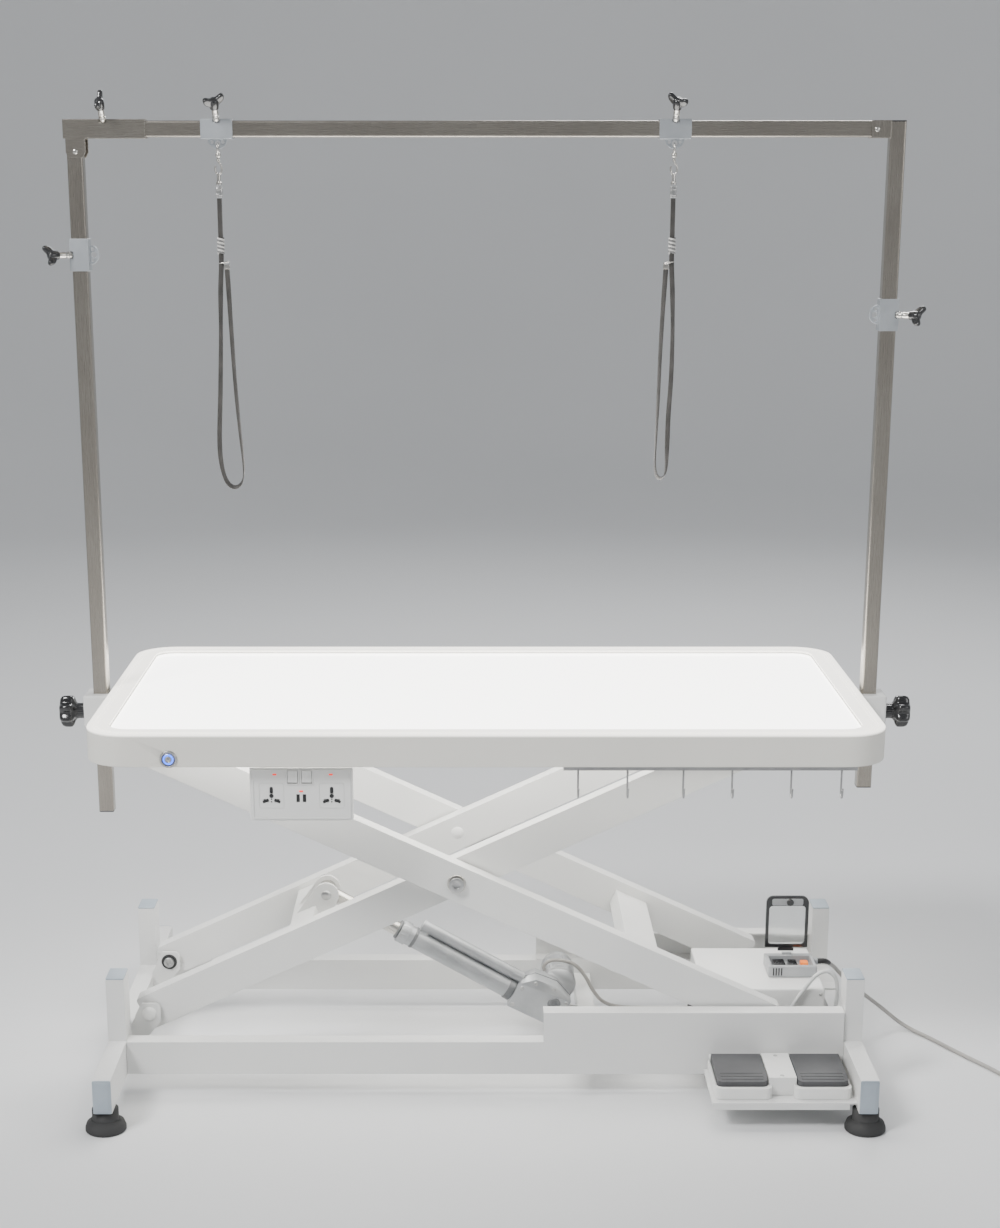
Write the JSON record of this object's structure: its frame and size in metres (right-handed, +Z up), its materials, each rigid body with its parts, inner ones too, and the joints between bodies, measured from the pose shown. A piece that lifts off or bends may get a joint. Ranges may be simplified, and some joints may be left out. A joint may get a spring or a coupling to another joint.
{
  "type": "grooming table",
  "caption": "Electric scissor-lift pet grooming table with a lit top, sockets, hooks, a foot switch, a mains lead, and an overhead frame with sliding clamps and noose leashes.",
  "frame": {"origin": "on the floor, under the middle of the table", "axes": "+X to the right seen from the foot switch's side, +Y to the back, +Z up"},
  "size_m": [1.7145, 0.756, 1.5966],
  "materials": {
    "white_steel": "satin powder coat",
    "box_steel": "satin powder coat",
    "foot_rubber": "matte",
    "isolator_grey": "matte",
    "lid_clear": "clear in a black frame",
    "pedal_white": "satin",
    "pedal_dark": "ribbed matte",
    "cord_grey": "matte",
    "plug_black": "satin",
    "roller_steel": "turned",
    "actuator_cast": "die cast",
    "rod_steel": "polished",
    "casing_plastic": "satin",
    "panel_acrylic": "lit from inside",
    "socket_white": "gloss",
    "button_steel": "satin",
    "hook_white": "coated wire",
    "holder_white": "white paint",
    "knob_black": "satin",
    "stainless_tube": "brushed",
    "clamp_aluminium": "sand blasted",
    "snap_nickel": "polished",
    "strap_webbing": "woven"
  },
  "bodies": {
    "base": {"left_end_frame": "white_steel", "right_end_frame": "white_steel", "front_beam": "white_steel", "rear_beam": "white_steel", "actuator_mount": "white_steel", "control_box": "box_steel", "isolator_box": "isolator_grey", "pedal_housing": "pedal_white", "motor_cable": "cord_grey", "pedal_cable": "cord_grey", "power_cord": "cord_grey", "power_cord_coil": "cord_grey", "power_plug": "plug_black"},
    "foot_front_left": {"foot_front_left": "foot_rubber"},
    "foot_front_right": {"foot_front_right": "foot_rubber"},
    "foot_rear_left": {"foot_rear_left": "foot_rubber"},
    "foot_rear_right": {"foot_rear_right": "foot_rubber"},
    "isolator_lid": {"isolator_lid": "lid_clear"},
    "raise_pedal": {"raise_pedal": "pedal_dark"},
    "lower_pedal": {"lower_pedal": "pedal_dark"},
    "inner_frame": {"front_inner_arm": "white_steel", "rear_inner_arm": "white_steel", "inner_cross_tube": "white_steel"},
    "upper_rollers": {"upper_roller_shaft": "roller_steel"},
    "outer_frame": {"front_outer_arm": "white_steel", "rear_outer_arm": "white_steel", "outer_cross_tube": "white_steel"},
    "front_lower_roller": {"front_lower_roller": "roller_steel"},
    "rear_lower_roller": {"rear_lower_roller": "roller_steel"},
    "actuator_housing": {"actuator_housing": "actuator_cast"},
    "actuator_rod": {"actuator_rod": "rod_steel"},
    "table": {"table_casing": "casing_plastic", "light_panel": "panel_acrylic", "table_subframe": "white_steel", "socket_plate": "socket_white", "hook_rail": "hook_white", "left_post_holder": "holder_white", "right_post_holder": "holder_white"},
    "left_rocker": {"left_rocker": "socket_white"},
    "right_rocker": {"right_rocker": "socket_white"},
    "power_button": {"power_button": "button_steel"},
    "left_star_knob": {"left_star_knob": "knob_black"},
    "right_star_knob": {"right_star_knob": "knob_black"},
    "overhead_frame": {"left_post": "stainless_tube", "right_post": "stainless_tube", "crossbar": "stainless_tube", "corner_sleeve": "stainless_tube"},
    "crossbar_clamp_left": {"crossbar_clamp_left": "clamp_aluminium"},
    "crossbar_clamp_right": {"crossbar_clamp_right": "clamp_aluminium"},
    "post_clamp_left": {"post_clamp_left": "clamp_aluminium"},
    "post_clamp_right": {"post_clamp_right": "clamp_aluminium"},
    "crossbar_clamp_screw_left": {"crossbar_clamp_screw_left": "knob_black"},
    "crossbar_clamp_screw_right": {"crossbar_clamp_screw_right": "knob_black"},
    "post_clamp_screw_left": {"post_clamp_screw_left": "knob_black"},
    "post_clamp_screw_right": {"post_clamp_screw_right": "knob_black"},
    "sleeve_screw": {"sleeve_screw": "knob_black"},
    "leash_left": {"leash_snap_left": "snap_nickel", "leash_strap_left": "strap_webbing"},
    "leash_right": {"leash_snap_right": "snap_nickel", "leash_strap_right": "strap_webbing"}
  },
  "joints": [
    {"name": "lift", "type": "hinge", "parent": "base", "child": "inner_frame", "pos_m": [-0.565, 0, 0.121], "axis": [0, -1, 0], "range_deg": [-12, 14.5]},
    {"name": "scissor_centre", "type": "hinge", "parent": "inner_frame", "child": "outer_frame", "pos_m": [-0.04699, 0, 0.3605], "axis": [0, -1, 0], "range_deg": [-29.5, 24.5]},
    {"name": "table_pivot", "type": "hinge", "parent": "outer_frame", "child": "table", "pos_m": [-0.565, 0, 0.6], "axis": [0, -1, 0], "range_deg": [-12.5, 15]},
    {"name": "upper_rollers_spin", "type": "hinge", "parent": "inner_frame", "child": "upper_rollers", "pos_m": [0.47103, 0, 0.6], "axis": [0, 1, 0], "continuous": true},
    {"name": "front_lower_roller_spin", "type": "hinge", "parent": "outer_frame", "child": "front_lower_roller", "pos_m": [0.47103, -0.16, 0.121], "axis": [0, 1, 0], "continuous": true},
    {"name": "rear_lower_roller_spin", "type": "hinge", "parent": "outer_frame", "child": "rear_lower_roller", "pos_m": [0.47103, 0.16, 0.121], "axis": [0, 1, 0], "continuous": true},
    {"name": "actuator_tilt", "type": "hinge", "parent": "base", "child": "actuator_housing", "pos_m": [0.14, 0, 0.055], "axis": [0, 1, 0], "range_deg": [-4.5, 5.5]},
    {"name": "actuator_stroke", "type": "slide", "parent": "actuator_housing", "child": "actuator_rod", "axis": [-0.8695, 0, 0.4939], "range_m": [-0.065, 0.078]},
    {"name": "foot_front_left_turn", "type": "hinge", "parent": "base", "child": "foot_front_left", "pos_m": [-0.611, -0.345, 0], "axis": [0, 0, 1], "continuous": true},
    {"name": "foot_front_right_turn", "type": "hinge", "parent": "base", "child": "foot_front_right", "pos_m": [0.611, -0.345, 0], "axis": [0, 0, 1], "continuous": true},
    {"name": "foot_rear_left_turn", "type": "hinge", "parent": "base", "child": "foot_rear_left", "pos_m": [-0.611, 0.345, 0], "axis": [0, 0, 1], "continuous": true},
    {"name": "foot_rear_right_turn", "type": "hinge", "parent": "base", "child": "foot_rear_right", "pos_m": [0.611, 0.345, 0], "axis": [0, 0, 1], "continuous": true},
    {"name": "isolator_lid_hinge", "type": "hinge", "parent": "base", "child": "isolator_lid", "pos_m": [0.523, -0.012, 0.187], "axis": [1, 0, 0], "range_deg": [-12, 85]},
    {"name": "raise_pedal_press", "type": "hinge", "parent": "base", "child": "raise_pedal", "pos_m": [0.415, -0.2215, 0.068], "axis": [1, 0, 0], "range_deg": [0, 4], "stiffness_Nm_per_rad": 4, "springref_deg": -5.73},
    {"name": "lower_pedal_press", "type": "hinge", "parent": "base", "child": "lower_pedal", "pos_m": [0.545, -0.2215, 0.068], "axis": [1, 0, 0], "range_deg": [0, 4], "stiffness_Nm_per_rad": 4, "springref_deg": -5.73},
    {"name": "left_rocker_tilt", "type": "hinge", "parent": "table", "child": "left_rocker", "pos_m": [-0.301, -0.301, 0.579], "axis": [1, 0, 0], "range_deg": [-8, 8]},
    {"name": "right_rocker_tilt", "type": "hinge", "parent": "table", "child": "right_rocker", "pos_m": [-0.279, -0.301, 0.579], "axis": [1, 0, 0], "range_deg": [-8, 8]},
    {"name": "power_button_press", "type": "slide", "parent": "table", "child": "power_button", "axis": [0, 1, 0], "range_m": [0, 0.0015], "stiffness_N_per_m": 400, "springref_m": -0.003},
    {"name": "left_star_knob_turn", "type": "hinge", "parent": "table", "child": "left_star_knob", "pos_m": [-0.673, 0, 0.61], "axis": [-1, 0, 0], "continuous": true},
    {"name": "right_star_knob_turn", "type": "hinge", "parent": "table", "child": "right_star_knob", "pos_m": [0.673, 0, 0.61], "axis": [1, 0, 0], "continuous": true},
    {"name": "frame_height", "type": "slide", "parent": "table", "child": "overhead_frame", "axis": [0, 0, 1], "range_m": [-0.15, 0.1]},
    {"name": "crossbar_clamp_left_slide", "type": "slide", "parent": "overhead_frame", "child": "crossbar_clamp_left", "axis": [1, 0, 0], "range_m": [-0.085, 0.3]},
    {"name": "crossbar_clamp_right_slide", "type": "slide", "parent": "overhead_frame", "child": "crossbar_clamp_right", "axis": [1, 0, 0], "range_m": [-0.3, 0.28]},
    {"name": "post_clamp_left_slide", "type": "slide", "parent": "overhead_frame", "child": "post_clamp_left", "axis": [0, 0, 1], "range_m": [-0.5, 0.115]},
    {"name": "post_clamp_right_slide", "type": "slide", "parent": "overhead_frame", "child": "post_clamp_right", "axis": [0, 0, 1], "range_m": [-0.4, 0.235]},
    {"name": "crossbar_clamp_screw_left_turn", "type": "hinge", "parent": "crossbar_clamp_left", "child": "crossbar_clamp_screw_left", "pos_m": [-0.421, -0.015, 1.562], "axis": [0, -0.7071, 0.7071], "continuous": true},
    {"name": "crossbar_clamp_screw_right_turn", "type": "hinge", "parent": "crossbar_clamp_right", "child": "crossbar_clamp_screw_right", "pos_m": [0.296, -0.015, 1.562], "axis": [0, -0.7071, 0.7071], "continuous": true},
    {"name": "post_clamp_screw_left_turn", "type": "hinge", "parent": "post_clamp_left", "child": "post_clamp_screw_left", "pos_m": [-0.6595, -0.015, 1.356], "axis": [-0.7071, -0.7071, 0], "continuous": true},
    {"name": "post_clamp_screw_right_turn", "type": "hinge", "parent": "post_clamp_right", "child": "post_clamp_screw_right", "pos_m": [0.6595, -0.015, 1.263], "axis": [0.7071, -0.7071, 0], "continuous": true},
    {"name": "sleeve_screw_turn", "type": "hinge", "parent": "overhead_frame", "child": "sleeve_screw", "pos_m": [-0.598, -0.0145, 1.5615], "axis": [0, -0.7071, 0.7071], "continuous": true},
    {"name": "leash_left_swing", "type": "hinge", "parent": "crossbar_clamp_left", "child": "leash_left", "pos_m": [-0.421, 0, 1.5255], "axis": [0, 1, 0], "range_deg": [-15, 15]},
    {"name": "leash_right_swing", "type": "hinge", "parent": "crossbar_clamp_right", "child": "leash_right", "pos_m": [0.296, 0, 1.5255], "axis": [0, 1, 0], "range_deg": [-15, 15]}
  ],
  "couplings": [
    {"joint": "scissor_centre", "follows": "lift", "ratio": -2},
    {"joint": "table_pivot", "follows": "lift", "ratio": 1},
    {"joint": "actuator_tilt", "follows": "lift", "ratio": 0.34},
    {"joint": "actuator_stroke", "follows": "lift", "m_per_rad": 0.29}
  ]
}
